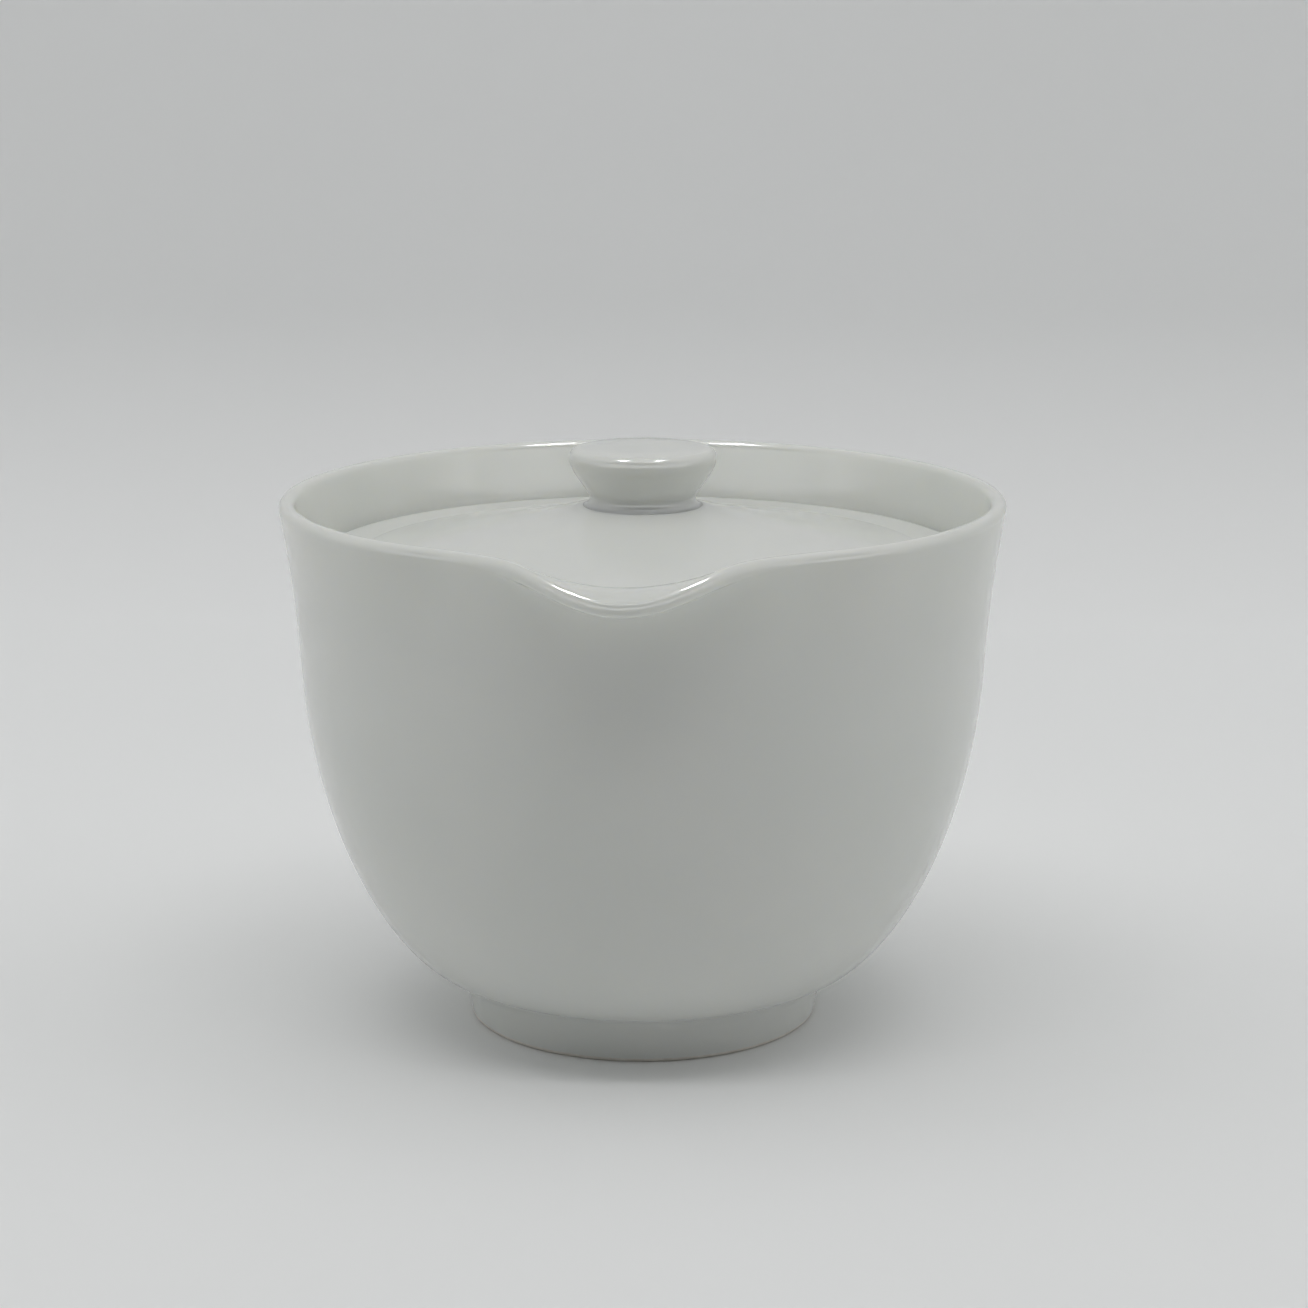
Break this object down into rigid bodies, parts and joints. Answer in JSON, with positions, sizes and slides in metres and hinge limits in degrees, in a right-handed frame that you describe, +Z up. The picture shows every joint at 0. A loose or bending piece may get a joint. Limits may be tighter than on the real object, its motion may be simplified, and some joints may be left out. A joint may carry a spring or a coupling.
{
  "type": "gaiwan",
  "caption": "Porcelain brewing bowl with a pinched pouring spout, a turned foot ring and an inset domed lid that lifts out by its knob.",
  "frame": {"origin": "centre of the foot ring in the plane of the table it stands on", "axes": "+Z up along the bowl's turning axis; the spout points along -Y; +X to the right of someone facing the spout"},
  "size_m": [0.0842, 0.0909, 0.0679],
  "materials": {
    "porcelain_glaze": "smooth clear glaze on white porcelain, glossy, with a faint cool green cast"
  },
  "bodies": {
    "bowl": {"bowl": "porcelain_glaze", "foot_ring": "porcelain_glaze"},
    "lid": {"lid": "porcelain_glaze", "lid_knob": "porcelain_glaze"}
  },
  "joints": [
    {"name": "lid_lift", "type": "slide", "parent": "bowl", "child": "lid", "axis": [0, 0, 1], "range_m": [0, 0.06]}
  ]
}
